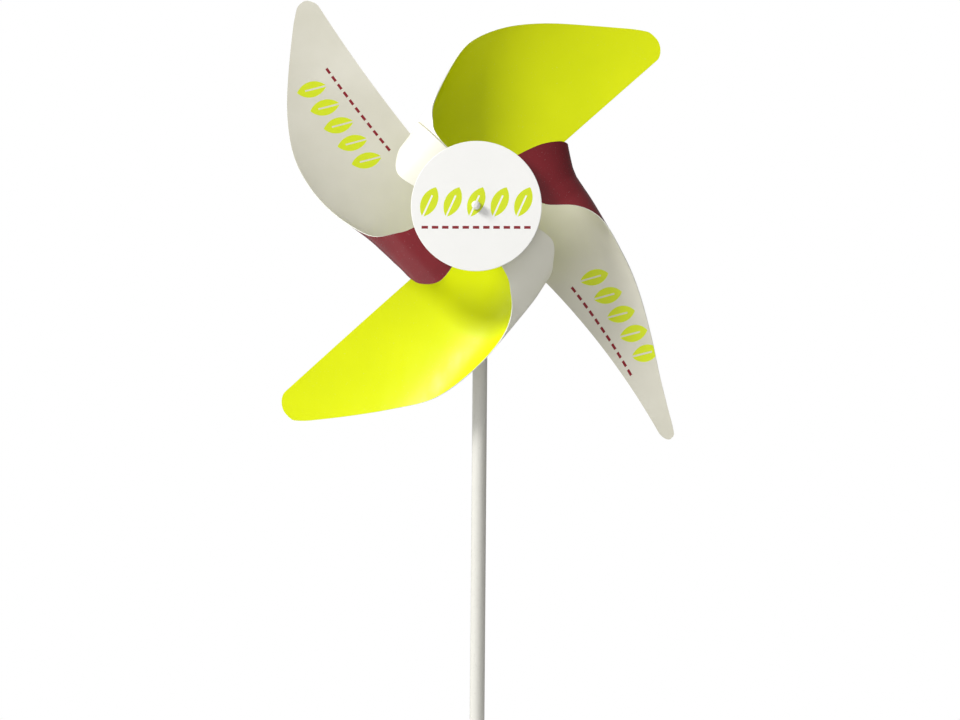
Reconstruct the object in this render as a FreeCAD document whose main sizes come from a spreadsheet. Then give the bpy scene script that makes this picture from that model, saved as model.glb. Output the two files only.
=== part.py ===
import FreeCAD, Part
import math
import os

from FreeCAD import Vector

# Pinwheel: a stick with a short axle across its top, and a four-winged wheel of thin plastic sheet.
# The foot of the stick is the origin, +Z runs up the stick and the wheel faces -Y.
# The wheel turns about a line along Y at the height hub_height.

doc = FreeCAD.newDocument("Pinwheel")

# ---------------------------------------------------------------- driving dimensions (mm)
sheet = doc.addObject("Spreadsheet::Sheet", "Dimensions")
DIMENSIONS = [
    # stick
    ("hub_height", 400.0),
    ("stick_radius", 4.0),
    ("stick_bore_radius", 3.0),
    ("stick_top", 388.0),
    ("foot_flange", 2.0),
    ("foot_spigot_top", 16.0),
    ("spigot_radius", 2.98),
    # head that carries the axle
    ("head_radius", 5.5),
    ("head_top", 408.0),
    ("head_spigot_bottom", 370.0),
    ("head_flat", 5.0),
    ("head_chamfer", 1.2),
    # axle and what rides on it, all measured forwards from the stick centre line
    ("axle_radius", 1.25),
    ("axle_bore_radius", 1.27),
    ("axle_back", -8.5),
    ("axle_front", 55.0),
    ("lock_radius", 3.2),
    ("lock_front", -5.1),
    ("lock_back", -9.6),
    ("lock_bore_end", -8.55),
    ("lock_round", 0.8),
    ("rear_washer_back", 5.02),
    ("rear_washer_front", 6.0),
    ("washer_radius", 4.0),
    ("running_radius", 1.33),
    # hub of the wheel
    ("hub_back", 6.3),
    ("hub_flange_front", 7.5),
    ("hub_flange_radius", 8.0),
    ("hub_tube_radius", 2.5),
    ("hub_front", 50.9),
    ("clamp_back", 9.0),
    ("clamp_front", 10.0),
    ("clamp_bore_radius", 2.52),
    ("spacer_radius", 4.5),
    ("spacer_front", 46.5),
    ("flap_washer_back", 48.75),
    ("flap_washer_front", 49.75),
    ("flap_washer_radius", 7.0),
    # cover disc with its collar
    ("disc_radius", 34.5),
    ("disc_back", 51.0),
    ("disc_front", 51.8),
    ("disc_hole_radius", 1.55),
    ("collar_radius", 4.5),
    ("collar_back", 49.77),
    # nose cap
    ("nose_radius", 2.25),
    ("nose_back", 52.1),
    ("nose_front", 56.6),
    ("nose_bore_end", 55.05),
    ("nose_round", 1.6),
    # sheets
    ("sheet_thickness", 0.5),
    ("sheet_hole_radius", 2.55),
    ("white_level", 7.76),
    ("lime_level", 8.5),
    ("lime_angle", 43.2),
    ("white_angle", -50.2),
]
for row_number, (alias, value) in enumerate(DIMENSIONS, start=1):
    sheet.set("A%d" % row_number, alias)
    sheet.set("B%d" % row_number, "%g" % value)
    sheet.setAlias("B%d" % row_number, alias)
doc.recompute()


def dim(alias):
    """The value of one driving dimension."""
    return float(sheet.get(alias))


# ---------------------------------------------------------------- round parts
def bind(feature, **expressions):
    """Tie a feature's properties to the spreadsheet."""
    for name, expression in expressions.items():
        feature.setExpression(name, expression)


def cylinder_along_y(name, radius, back, front):
    """A cylinder on the wheel axis, from the depth back to the depth front, both towards -Y."""
    body = doc.addObject("Part::Cylinder", name)
    body.Placement = FreeCAD.Placement(Vector(0, 0, 0), FreeCAD.Rotation(Vector(1, 0, 0), 90))
    bind(body, Radius="Dimensions." + radius, Height="Dimensions.%s - Dimensions.%s" % (front, back))
    body.setExpression("Placement.Base.y", "-Dimensions." + back)
    body.setExpression("Placement.Base.z", "Dimensions.hub_height")
    return body


def cylinder_along_z(name, radius, bottom, top):
    """A cylinder on the stick's centre line between two heights."""
    body = doc.addObject("Part::Cylinder", name)
    bind(body, Radius="Dimensions." + radius, Height="%s - %s" % (top, bottom))
    body.setExpression("Placement.Base.z", bottom)
    return body


def cut(name, base, tool):
    """The base with the tool taken away."""
    feature = doc.addObject("Part::Cut", name)
    feature.Base = base
    feature.Tool = tool
    return feature


def fuse(name, shapes):
    """Several overlapping or touching shapes made into one."""
    feature = doc.addObject("Part::MultiFuse", name)
    feature.Shapes = shapes
    feature.Refine = True
    return feature


def ring(name, outer, bore, back, front):
    """A flat ring or tube on the wheel axis."""
    blank = cylinder_along_y(name + "_blank", outer, back, front)
    hole = cylinder_along_y(name + "_hole", bore, back, front)
    return cut(name, blank, hole)


# ---------------------------------------------------------------- stick
DIM = "Dimensions."

tube_blank = cylinder_along_z("tube_blank", "stick_radius", DIM + "foot_flange", DIM + "stick_top")
tube_bore = cylinder_along_z("tube_bore", "stick_bore_radius", DIM + "foot_flange", DIM + "stick_top")
stick_tube = cut("stick_tube", tube_blank, tube_bore)

foot_flange = cylinder_along_z("foot_flange", "stick_radius", "0", DIM + "foot_flange")
foot_spigot = cylinder_along_z("foot_spigot", "spigot_radius", "0", DIM + "foot_spigot_top")
stick_end_plug = fuse("stick_end_plug", [foot_flange, foot_spigot])

# The head stands on the tube, with a spigot down inside it and a flat face towards the wheel.
head_barrel = cylinder_along_z("head_barrel", "head_radius", DIM + "stick_top", DIM + "head_top")
head_rounded = doc.addObject("Part::Chamfer", "head_rounded")
head_rounded.Base = head_barrel
doc.recompute()
rim_numbers = []
for number, edge in enumerate(head_barrel.Shape.Edges, start=1):
    if isinstance(edge.Curve, Part.Circle):
        rim_numbers.append(number)
head_rounded.Edges = [(number, dim("head_chamfer"), dim("head_chamfer")) for number in rim_numbers]
head_spigot = cylinder_along_z("head_spigot", "spigot_radius", DIM + "head_spigot_bottom", DIM + "head_top - 3")
head_solid = fuse("head_solid", [head_rounded, head_spigot])
flat_cutter = doc.addObject("Part::Box", "flat_cutter")
bind(
    flat_cutter,
    Length="4 * Dimensions.head_radius",
    Width="2 * Dimensions.head_radius",
    Height="Dimensions.head_top - Dimensions.stick_top + 2",
)
flat_cutter.setExpression("Placement.Base.x", "-2 * Dimensions.head_radius")
flat_cutter.setExpression("Placement.Base.y", "-Dimensions.head_flat - 2 * Dimensions.head_radius")
flat_cutter.setExpression("Placement.Base.z", "Dimensions.stick_top - 1")
back_cutter = doc.addObject("Part::Box", "back_cutter")
bind(
    back_cutter,
    Length="4 * Dimensions.head_radius",
    Width="2 * Dimensions.head_radius",
    Height="Dimensions.head_top - Dimensions.stick_top + 2",
)
back_cutter.setExpression("Placement.Base.x", "-2 * Dimensions.head_radius")
back_cutter.setExpression("Placement.Base.y", "Dimensions.head_flat")
back_cutter.setExpression("Placement.Base.z", "Dimensions.stick_top - 1")
head_front_cut = cut("head_front_cut", head_solid, flat_cutter)
head_flats = cut("head_flats", head_front_cut, back_cutter)
head_bore = doc.addObject("Part::Cylinder", "head_bore")
head_bore.Placement = FreeCAD.Placement(Vector(0, 0, 0), FreeCAD.Rotation(Vector(1, 0, 0), 90))
bind(head_bore, Radius="Dimensions.axle_bore_radius", Height="4 * Dimensions.head_radius")
head_bore.setExpression("Placement.Base.y", "2 * Dimensions.head_radius")
head_bore.setExpression("Placement.Base.z", "Dimensions.hub_height")
axle_head = cut("axle_head", head_flats, head_bore)

# ---------------------------------------------------------------- axle and its caps
axle_pin = cylinder_along_y("axle_pin", "axle_radius", "axle_back", "axle_front")


def cap_on_axle(name, radius, mouth, tip, bore_end, rounding):
    """A blind cap pushed on one end of the axle: open at its mouth, closed and rounded at its tip."""
    back, front = sorted((mouth, tip), key=dim)
    blank = cylinder_along_y(name + "_blank", radius, back, front)
    doc.recompute()
    tip_edges = []
    for number, edge in enumerate(blank.Shape.Edges, start=1):
        if isinstance(edge.Curve, Part.Circle) and abs(edge.Curve.Center.y + dim(tip)) < 0.01:
            tip_edges.append((number, dim(rounding), dim(rounding)))
    rounded = doc.addObject("Part::Fillet", name + "_rounded")
    rounded.Base = blank
    rounded.Edges = tip_edges
    bore_back, bore_front = sorted((mouth, bore_end), key=dim)
    hole = cylinder_along_y(name + "_hole", "axle_bore_radius", bore_back, bore_front)
    return cut(name, rounded, hole)


nose_cap = cap_on_axle("nose_cap", "nose_radius", "nose_back", "nose_front", "nose_bore_end", "nose_round")
axle_lock_cap = cap_on_axle(
    "axle_lock_cap", "lock_radius", "lock_front", "lock_back", "lock_bore_end", "lock_round"
)
rear_washer = ring("rear_washer", "washer_radius", "axle_bore_radius", "rear_washer_back", "rear_washer_front")

# ---------------------------------------------------------------- hub of the wheel
hub_flange = cylinder_along_y("hub_flange", "hub_flange_radius", "hub_back", "hub_flange_front")
hub_core = cylinder_along_y("hub_core", "hub_tube_radius", "hub_back", "hub_front")
hub_outside = fuse("hub_outside", [hub_flange, hub_core])
hub_bore = cylinder_along_y("hub_bore", "running_radius", "hub_back", "hub_front")
hub_tube = cut("hub_tube", hub_outside, hub_bore)

rear_clamp_washer = ring("rear_clamp_washer", "hub_flange_radius", "clamp_bore_radius", "clamp_back", "clamp_front")
spacer_tube = ring("spacer_tube", "spacer_radius", "clamp_bore_radius", "clamp_front", "spacer_front")
flap_washer = ring(
    "flap_washer", "flap_washer_radius", "clamp_bore_radius", "flap_washer_back", "flap_washer_front"
)

disc_plate = cylinder_along_y("disc_plate", "disc_radius", "disc_back", "disc_front")
disc_collar = cylinder_along_y("disc_collar", "collar_radius", "collar_back", "disc_front")
disc_blank = fuse("disc_blank", [disc_plate, disc_collar])
disc_hole = cylinder_along_y("disc_hole", "disc_hole_radius", "collar_back", "disc_front")
disc_socket = cylinder_along_y("disc_socket", "clamp_bore_radius", "collar_back", "disc_back")
disc_pierced = cut("disc_pierced", disc_blank, disc_hole)
front_disc = cut("front_disc", disc_pierced, disc_socket)

# ---------------------------------------------------------------- sheets
# Each sheet has two wings half a turn apart. A wing is described in its own frame: "along" runs from
# the hub to the tip, "across" lies in the wheel's plane at a right angle to it, and "rise" is the
# distance forward. Every cross-section is a loop that leaves the hub side flat, curls forward and
# comes back over the hub. The sheet's outer edge stops each loop at its own share of the way, so the
# loops near the hub close into the pinned flap and those near the tip stay open as the blade.
LOOP_STATIONS = (-0.1, 0.15, 0.45, 1.0)
EDGE_STATIONS = (0.08, 0.13, 0.19, 0.28, 0.40, 0.55, 0.70, 0.85, 1.0)
FLAP_SHARES = (0.0, 0.06, 0.25, 0.5, 0.65, 0.8, 1.0, 1.5, 2.0)
ROOT_SHARE = 0.09
LOOP_END = 13.0
TONGUE_RADIUS = 12.0
SEAM = 9.0
TIP_ROUND = 8.0
FLAP_ROWS = 8
BLADE_ROWS = 22
TIP_ROWS = 7
COLUMNS = 34
KNEE_PART = 0.7

WINGS = {
    "lime_upper": dict(
        turn=0.0,
        length=137.2,
        reach=(70.1, 77.0, 97.6, 109.9),
        height=(39.93, 48.78, 59.8),
        skew=(0.10, -0.05, 0.0, 0.0),
        slit=(-2.8, -0.2),
        lift=-2.0,
        edge=(0.855, 0.705, 0.60, 0.52, 0.45, 0.34, 0.23, 0.13, 0.05),
        flap_edge=(-9.0, -2.0, 1.0, 2.5, -10.0, -18.5, -13.0, -12.0, -6.0),
    ),
    "lime_lower": dict(
        turn=180.0,
        length=150.8,
        reach=(65.3, 73.5, 84.5, 108.4),
        height=(39.38, 48.68, 59.8),
        skew=(0.10, -0.05, 0.0, 0.0),
        slit=(-2.4, 1.6),
        lift=-0.2,
        edge=(0.89, 0.76, 0.65, 0.53, 0.43, 0.33, 0.21, 0.12, 0.05),
        flap_edge=(-9.0, -5.0, -4.0, -3.6, -9.0, -17.5, -13.0, -12.0, -6.0),
    ),
    "white_lower": dict(
        turn=0.0,
        length=159.5,
        reach=(81.0, 64.0, 52.0, 59.8),
        height=(39.0, 47.9, 60.0),
        skew=(0.11, 0.08, -0.08, -0.1),
        slit=(-1.5, -27.0),
        lift=-1.0,
        edge=(0.93, 0.89, 0.77, 0.63, 0.475, 0.32, 0.195, 0.10, 0.045),
        flap_edge=(-9.0, 1.5, 2.5, 2.5, -1.0, -6.0, -10.0, -12.0, -6.0),
    ),
    "white_upper": dict(
        turn=180.0,
        length=154.5,
        reach=(65.7, 69.0, 87.0, 108.7),
        height=(39.55, 48.1, 60.0),
        skew=(0.10, -0.05, 0.0, 0.0),
        slit=(-6.3, -11.4),
        lift=3.0,
        edge=(0.92, 0.76, 0.61, 0.505, 0.40, 0.31, 0.21, 0.115, 0.035),
        flap_edge=(-9.0, 0.5, 0.5, -0.5, -11.0, -17.5, -13.0, -12.0, -6.0),
    ),
}


def end_slope(step_near, step_far, rate_near, rate_far):
    """Slope of a monotone curve at its first or last knot."""
    slope = ((2 * step_near + step_far) * rate_near - step_near * rate_far) / (step_near + step_far)
    if slope * rate_near <= 0:
        return 0.0
    if rate_near * rate_far < 0 and abs(slope) > 3 * abs(rate_near):
        return 3 * rate_near
    return slope


def smooth_through(knots, values, position):
    """A smooth curve through the values at the knots, with no overshoot between them."""
    count = len(knots)
    steps = [knots[i + 1] - knots[i] for i in range(count - 1)]
    rates = [(values[i + 1] - values[i]) / steps[i] for i in range(count - 1)]
    slopes = [end_slope(steps[0], steps[1], rates[0], rates[1])]
    for i in range(1, count - 1):
        if rates[i - 1] * rates[i] <= 0:
            slopes.append(0.0)
        else:
            weight_left = 2 * steps[i] + steps[i - 1]
            weight_right = steps[i] + 2 * steps[i - 1]
            shares = weight_left / rates[i - 1] + weight_right / rates[i]
            slopes.append((weight_left + weight_right) / shares)
    slopes.append(end_slope(steps[-1], steps[-2], rates[-1], rates[-2]))
    place = min(max(position, knots[0]), knots[-1])
    span = 0
    while span < count - 2 and place > knots[span + 1]:
        span += 1
    t = (place - knots[span]) / steps[span]
    rise = values[span + 1] - values[span]
    start = slopes[span] * steps[span]
    end = slopes[span + 1] * steps[span]
    return values[span] + t * (start + t * (3 * rise - 2 * start - end + t * (start + end - 2 * rise)))


def loop_point(wing, base, share):
    """Point of the loop that starts at the distance base from the hub, share of the way round it.

    Shares up to 1 are the curled part and shares from 1 to 2 are the flat tongue under the disc.
    """
    part = base / wing["length"]
    reach = smooth_through(LOOP_STATIONS, wing["reach"], part)
    height = smooth_through(LOOP_STATIONS[1:], wing["height"], part)
    skew = smooth_through(LOOP_STATIONS, wing["skew"], part)
    out = min(max((part - ROOT_SHARE) / (1 - ROOT_SHARE), 0.0), 1.0)
    slit = wing["slit"][0] * out + wing["slit"][1] * (out * out - out)
    lift = wing["lift"] * out * out
    if share > 1:
        across = slit + LOOP_END - (share - 1) * (LOOP_END + TONGUE_RADIUS)
        return Vector(base, across, lift + height)
    rest = 1 - share
    first = 3 * share * rest * rest
    second = 3 * share * share * rest
    last = share ** 3
    along = base + (first + second) * skew * reach
    across = slit + (first + second) * reach + last * LOOP_END
    return Vector(along, across, lift + (second + last) * height)


def edge_share(wing, base):
    """How far round its loop the sheet reaches at the distance base from the hub."""
    knots = [SEAM, SEAM + 1.2] + [station * wing["length"] for station in EDGE_STATIONS]
    values = [tongue_share(SEAM), 1.2] + list(wing["edge"])
    return smooth_through(knots, values, base)


def tongue_share(base):
    """Share at which the round end of the flap's tongue stops."""
    half = math.sqrt(max(TONGUE_RADIUS ** 2 - base * base, 0.0))
    return 1 + (LOOP_END + half) / (LOOP_END + TONGUE_RADIUS)


def share_at(stop, part):
    """Share of the loop at a part of the way across a row, kept alike on rows of unlike length."""
    knee = min(0.88, 0.9 * stop)
    if part <= KNEE_PART:
        return knee * part / KNEE_PART
    return knee + (stop - knee) * (part - KNEE_PART) / (1 - KNEE_PART)


def flap_rows(wing):
    """Rows of points across the flap, from its free edge to the seam with the blade."""
    rows = []
    for row in range(FLAP_ROWS + 1):
        part = row / FLAP_ROWS
        base = -SEAM + part * 2 * SEAM
        stop = tongue_share(base)
        points = []
        for column in range(COLUMNS + 1):
            share = share_at(stop, column / COLUMNS)
            inner = loop_point(wing, SEAM, share)
            free = smooth_through(FLAP_SHARES, wing["flap_edge"], share)
            near = loop_point(wing, base, share)
            points.append(Vector(free + (inner.x - free) * part, near.y, near.z))
        rows.append(points)
    return rows


def blade_rows(wing):
    """Rows of points across the blade, from the seam with the flap to the rounded tip."""
    straight_end = wing["length"] - TIP_ROUND
    bases = []
    for row in range(BLADE_ROWS + 1):
        part = row / BLADE_ROWS
        bases.append((SEAM + (straight_end - SEAM) * part ** 1.5, 0.0))
    for row in range(1, TIP_ROWS + 1):
        turn = math.radians(80.0 * row / TIP_ROWS)
        bases.append((straight_end + TIP_ROUND * math.sin(turn), 0.5 * (1 - math.cos(turn))))
    rows = []
    for base, inset in bases:
        stop = edge_share(wing, base)
        points = []
        for column in range(COLUMNS + 1):
            part = inset + (1 - 2 * inset) * column / COLUMNS
            points.append(loop_point(wing, base, share_at(stop, part)))
        rows.append(points)
    return rows


def offset_rows(rows, distance):
    """The same rows moved by a distance along the sheet's own normal."""
    moved = []
    last_row = len(rows) - 1
    for i, row in enumerate(rows):
        points = []
        last_column = len(row) - 1
        for j, point in enumerate(row):
            along = rows[min(i + 1, last_row)][j] - rows[max(i - 1, 0)][j]
            round_loop = row[min(j + 1, last_column)] - row[max(j - 1, 0)]
            if j == 0:
                round_loop.z = 0.0
            normal = along.cross(round_loop).normalize()
            points.append(point + normal * distance)
        moved.append(points)
    return moved


def knot_vector(pole_count):
    """Evenly spaced knots and their multiplicities for a clamped cubic."""
    spans = pole_count - 3
    return list(range(spans + 1)), [4] + [1] * (spans - 1) + [4]


def patch(rows):
    """A smooth surface whose poles are the rows of points."""
    row_knots, row_mults = knot_vector(len(rows))
    column_knots, column_mults = knot_vector(len(rows[0]))
    surface = Part.BSplineSurface()
    surface.buildFromPolesMultsKnots(
        rows, row_mults, column_mults, row_knots, column_knots, False, False, 3, 3
    )
    return surface.toShape()


def strip(back_points, front_points):
    """The narrow cut edge between the same border of the back and the front patch."""
    knots, mults = knot_vector(len(back_points))
    surface = Part.BSplineSurface()
    surface.buildFromPolesMultsKnots(
        [back_points, front_points], [2, 2], mults, [0, 1], knots, False, False, 1, 3
    )
    return surface.toShape()


def border(rows, side):
    """One border of the rows: first, last, left or right."""
    if side == "first":
        return rows[0]
    if side == "last":
        return rows[-1]
    column = 0 if side == "left" else -1
    return [row[column] for row in rows]


def wing_faces(wing, thickness):
    """Front, back and cut-edge faces of one wing, left open where it joins the other wing."""
    rows = flap_rows(wing) + blade_rows(wing)[1:]
    back_rows = offset_rows(rows, -thickness / 2)
    front_rows = offset_rows(rows, thickness / 2)
    faces = []
    spans = ((0, FLAP_ROWS + 1, ("first", "right")), (FLAP_ROWS, len(rows), ("left", "right", "last")))
    for start, stop, sides in spans:
        back = back_rows[start:stop]
        front = front_rows[start:stop]
        faces.append(patch(back))
        faces.append(patch(front))
        for side in sides:
            faces.append(strip(border(back, side), border(front, side)))
    return faces


def build_sheet(name, first_wing, second_wing):
    """One strip with two wings, as a solid in its own frame with the hub at the origin."""
    faces = []
    for key in (first_wing, second_wing):
        wing = WINGS[key]
        for face in wing_faces(wing, dim("sheet_thickness")):
            face.rotate(Vector(0, 0, 0), Vector(0, 0, 1), wing["turn"])
            faces.append(face)
    shell = Part.makeShell(faces)
    shell.sewShape()
    solid = Part.makeSolid(shell.Shells[0])
    if solid.Volume < 0:
        solid.reverse()
    hole = Part.makeCylinder(dim("sheet_hole_radius"), 80, Vector(0, 0, -10))
    feature = doc.addObject("Part::Feature", name)
    feature.Shape = solid.cut(hole)
    return feature


lime_sheet = build_sheet("lime_sheet", "lime_upper", "lime_lower")
white_sheet = build_sheet("white_sheet", "white_lower", "white_upper")


def stand_up(feature, level, angle):
    """Turn a sheet from its flat frame to face -Y, set to its angle and depth on the hub."""
    facing = FreeCAD.Rotation(Vector(1, 0, 0), 90)
    about_axis = FreeCAD.Rotation(Vector(0, 0, 1), angle)
    hub_point = Vector(0, -dim(level), dim("hub_height"))
    feature.Placement = FreeCAD.Placement(hub_point, facing.multiply(about_axis))


stand_up(lime_sheet, "lime_level", dim("lime_angle"))
stand_up(white_sheet, "white_level", dim("white_angle"))

# ---------------------------------------------------------------- check and write
NODES = [
    stick_tube,
    stick_end_plug,
    axle_head,
    axle_pin,
    axle_lock_cap,
    rear_washer,
    nose_cap,
    hub_tube,
    rear_clamp_washer,
    spacer_tube,
    flap_washer,
    front_disc,
    lime_sheet,
    white_sheet,
]
doc.recompute()
os.makedirs("parts", exist_ok=True)
for node in NODES:
    node.Label = node.Name
    if "Invalid" in node.State or "Error" in node.State:
        raise RuntimeError("%s is in state %s" % (node.Name, node.State))
    if node.Shape.isNull() or not node.Shape.isValid():
        raise RuntimeError("%s has no valid shape" % node.Name)
    print(node.Name, len(node.Shape.Solids), round(node.Shape.Volume, 2), node.Shape.BoundBox)
    node.Shape.exportStep("parts/%s.step" % node.Name)
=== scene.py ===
# %% [markdown]
# # A printed pinwheel on a stick
# This lesson builds a giveaway pinwheel: a long thin stick, a short axle across its top, and a wheel
# cut from two strips of thin printed plastic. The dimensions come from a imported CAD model, which is
# loaded first and acts as a frame: its parts already stand where they belong, in metres, with the
# foot of the stick at the origin, +Z up and the wheel facing -Y. Parts that are right as they are
# keep their shape and get a better finish, and the others are modelled again here in more detail.

# %% Load the frame
import math

import bpy
from mathutils import Matrix, Vector


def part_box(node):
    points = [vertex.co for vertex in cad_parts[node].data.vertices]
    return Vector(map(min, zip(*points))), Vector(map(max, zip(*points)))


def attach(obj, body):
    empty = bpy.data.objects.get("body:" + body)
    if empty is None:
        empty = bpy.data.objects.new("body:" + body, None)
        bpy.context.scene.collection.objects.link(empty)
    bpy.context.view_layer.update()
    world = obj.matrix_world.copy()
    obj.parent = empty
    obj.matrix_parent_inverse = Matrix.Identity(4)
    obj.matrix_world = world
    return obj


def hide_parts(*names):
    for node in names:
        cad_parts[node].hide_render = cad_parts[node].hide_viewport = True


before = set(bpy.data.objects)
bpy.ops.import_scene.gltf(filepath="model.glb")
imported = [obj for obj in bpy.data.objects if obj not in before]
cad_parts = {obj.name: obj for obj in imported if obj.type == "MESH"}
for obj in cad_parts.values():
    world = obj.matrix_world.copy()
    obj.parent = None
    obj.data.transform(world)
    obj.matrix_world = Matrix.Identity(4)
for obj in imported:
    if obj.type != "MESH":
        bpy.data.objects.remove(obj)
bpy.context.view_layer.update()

print("parts in the frame:", sorted(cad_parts))

# %% [markdown]
# ## Measures taken from the frame
# Everything in the wheel is set out from its axis and its height above the foot. Both can be read
# from the boxes of round CAD parts, because the middle of a ring's box is the middle of the ring.

# %% Find the axis of the wheel
MM = 0.001


def middle(node):
    """Middle point of a CAD part's box."""
    low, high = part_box(node)
    return (Vector(low) + Vector(high)) / 2


HUB_HEIGHT = middle("front_disc").z
DISC_RADIUS = (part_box("front_disc")[1][0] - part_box("front_disc")[0][0]) / 2
print("the wheel's axis is", round(HUB_HEIGHT / MM, 2), "mm above the foot")
print("the cover disc's radius is", round(DISC_RADIUS / MM, 2), "mm")

# %% [markdown]
# ## Camera
# The view is from a little below the hub and a touch to the right of it, through a long lens. A
# wide lens close by would swell the flaps that stand forward. A long lens from farther away keeps
# the near and far wings at nearly the same scale, which suits a flat object. The camera is turned by
# a matrix of three plain turns: across, up and roll.

# %% Set the camera
LENS = 82.9
VIEW_AZIMUTH = math.radians(2.95)
VIEW_ELEVATION = math.radians(-7.72)
VIEW_DISTANCE = 1.2087
LOOK_UP = math.radians(4.02)
ROLL = math.radians(0.47)
PAN = math.radians(-0.02)

AIM_DEPTH = 8.0 * MM

aim = Vector((0.0, -AIM_DEPTH, HUB_HEIGHT))
offset = Vector((
    math.sin(VIEW_AZIMUTH) * math.cos(VIEW_ELEVATION),
    -math.cos(VIEW_AZIMUTH) * math.cos(VIEW_ELEVATION),
    math.sin(VIEW_ELEVATION),
))
camera_data = bpy.data.cameras.new("studio_camera")
camera_data.lens = LENS
camera_data.sensor_width = 36.0
camera_data.clip_end = 50.0
camera = bpy.data.objects.new("studio_camera", camera_data)
bpy.context.scene.collection.objects.link(camera)
turn = Matrix.Rotation(VIEW_AZIMUTH + PAN, 4, "Z") @ Matrix.Rotation(math.pi / 2 + LOOK_UP, 4, "X")
turn = turn @ Matrix.Rotation(ROLL, 4, "Z")
camera.matrix_world = Matrix.Translation(aim + offset * VIEW_DISTANCE) @ turn
bpy.context.scene.camera = camera
print("camera at", [round(value, 4) for value in camera.matrix_world.translation])

# %% [markdown]
# ## Helpers for modelling
# Blender's operators act on everything that is selected, and the frame leaves its parts selected.
# So each piece starts with nothing selected. When a piece is finished its object is put back at
# the origin with its place kept in its mesh, as the CAD parts have it.

# %% Start a piece from a primitive


def select_only(*objects):
    """Select these objects and make the first of them active."""
    bpy.ops.object.select_all(action="DESELECT")
    for item in objects:
        item.select_set(True)
    bpy.context.view_layer.objects.active = objects[0]


def start_piece(name):
    """Name the primitive that was just added and give it back, alone in the selection."""
    piece = bpy.context.object
    piece.name = name
    piece.data.name = name
    select_only(piece)
    return piece


print("the frame leaves", len(bpy.context.selected_objects), "parts selected")

# %% Finish a piece
SMOOTH_ANGLE = 35.0


def apply_modifiers(piece):
    """Turn every modifier on a piece into real geometry, in order."""
    select_only(piece)
    for modifier in list(piece.modifiers):
        bpy.ops.object.modifier_apply(modifier=modifier.name)


def finish_piece(piece, angle=SMOOTH_ANGLE):
    """Keep the place in the mesh and smooth every corner flatter than the angle."""
    select_only(piece)
    bpy.ops.object.transform_apply(location=True, rotation=True, scale=True)
    bpy.ops.object.shade_smooth_by_angle(angle=math.radians(angle))
    piece.data.calc_loop_triangles()
    print(piece.name, "has", len(piece.data.loop_triangles), "triangles")


print("corners flatter than", SMOOTH_ANGLE, "degrees are smoothed, unless a piece needs another angle")

# %% Cut a round hole


def cut_round_hole(piece, radius, sides, length, place=(0.0, 0.0, 0.0), turn=(0.0, 0.0, 0.0)):
    """Take a round bar away from a piece. The bar stands along Z unless it is turned."""
    bpy.ops.object.select_all(action="DESELECT")
    bpy.ops.mesh.primitive_cylinder_add(
        vertices=sides, radius=radius, depth=length, location=place, rotation=turn
    )
    drill = start_piece(piece.name + "_drill")
    hole = piece.modifiers.new("hole", "BOOLEAN")
    hole.operation = "DIFFERENCE"
    hole.object = drill
    hole.solver = "EXACT"
    apply_modifiers(piece)
    bpy.data.objects.remove(drill)
    print("cut a hole", round(2 * radius / MM, 2), "mm across in", piece.name)


print("holes are cut by", cut_round_hole.__name__, "with a round bar")

# %% [markdown]
# ## Helpers for finishes
# A finish is a small network of nodes round one Principled shader. These helpers add a node, wire
# two sockets together and do sums, so that each finish below reads as a list of what it is made of.
# Numbers that are the same all over a surface are set on the shader itself.

# %% Helpers that add and wire nodes


def new_finish(name):
    """A material with only a Principled shader in it."""
    material = bpy.data.materials.new(name)
    material.use_nodes = True
    nodes = material.node_tree.nodes
    nodes.clear()
    output = nodes.new("ShaderNodeOutputMaterial")
    shader = nodes.new("ShaderNodeBsdfPrincipled")
    material.node_tree.links.new(shader.outputs["BSDF"], output.inputs["Surface"])
    return material, shader


def feed(material, source, target):
    """Wire a socket, or set a plain value, into an input socket."""
    if isinstance(source, bpy.types.NodeSocket):
        material.node_tree.links.new(source, target)
    else:
        target.default_value = source


def sum_of(material, operation, *values):
    """One Math node with sockets or numbers as its inputs."""
    node = material.node_tree.nodes.new("ShaderNodeMath")
    node.operation = operation
    for value, target in zip(values, node.inputs):
        feed(material, value, target)
    return node.outputs["Value"]


print("node helpers ready:", new_finish.__name__, feed.__name__, sum_of.__name__)

# %% Helpers that vary a surface
EVEN = (1.0, 1.0, 1.0)


def place_on_piece(material, stretch=EVEN):
    """Object coordinates, stretched if the pattern has a direction."""
    nodes = material.node_tree.nodes
    place = nodes.new("ShaderNodeTexCoord")
    mapping = nodes.new("ShaderNodeMapping")
    mapping.inputs["Scale"].default_value = stretch
    feed(material, place.outputs["Object"], mapping.inputs["Vector"])
    return mapping.outputs["Vector"]


def noise(material, place, scale, detail=2.0):
    """Soft random values about 0.5."""
    node = material.node_tree.nodes.new("ShaderNodeTexNoise")
    node.inputs["Scale"].default_value = scale
    node.inputs["Detail"].default_value = detail
    feed(material, place, node.inputs["Vector"])
    return node.outputs["Fac"]


def spread(material, value, low, high, from_low=0.3, from_high=0.7):
    """A value brought into the range from low to high."""
    node = material.node_tree.nodes.new("ShaderNodeMapRange")
    node.inputs["From Min"].default_value = from_low
    node.inputs["From Max"].default_value = from_high
    node.inputs["To Min"].default_value = low
    node.inputs["To Max"].default_value = high
    feed(material, value, node.inputs["Value"])
    return node.outputs["Result"]


def blend_colors(material, share, first, second):
    """The first colour where the share is 0 and the second where it is 1."""
    node = material.node_tree.nodes.new("ShaderNodeMix")
    node.data_type = "RGBA"
    feed(material, share, node.inputs["Factor"])
    for value, socket in ((first, node.inputs[6]), (second, node.inputs[7])):
        if not isinstance(value, bpy.types.NodeSocket):
            value = (*value, 1.0)
        feed(material, value, socket)
    return node.outputs[2]


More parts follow.
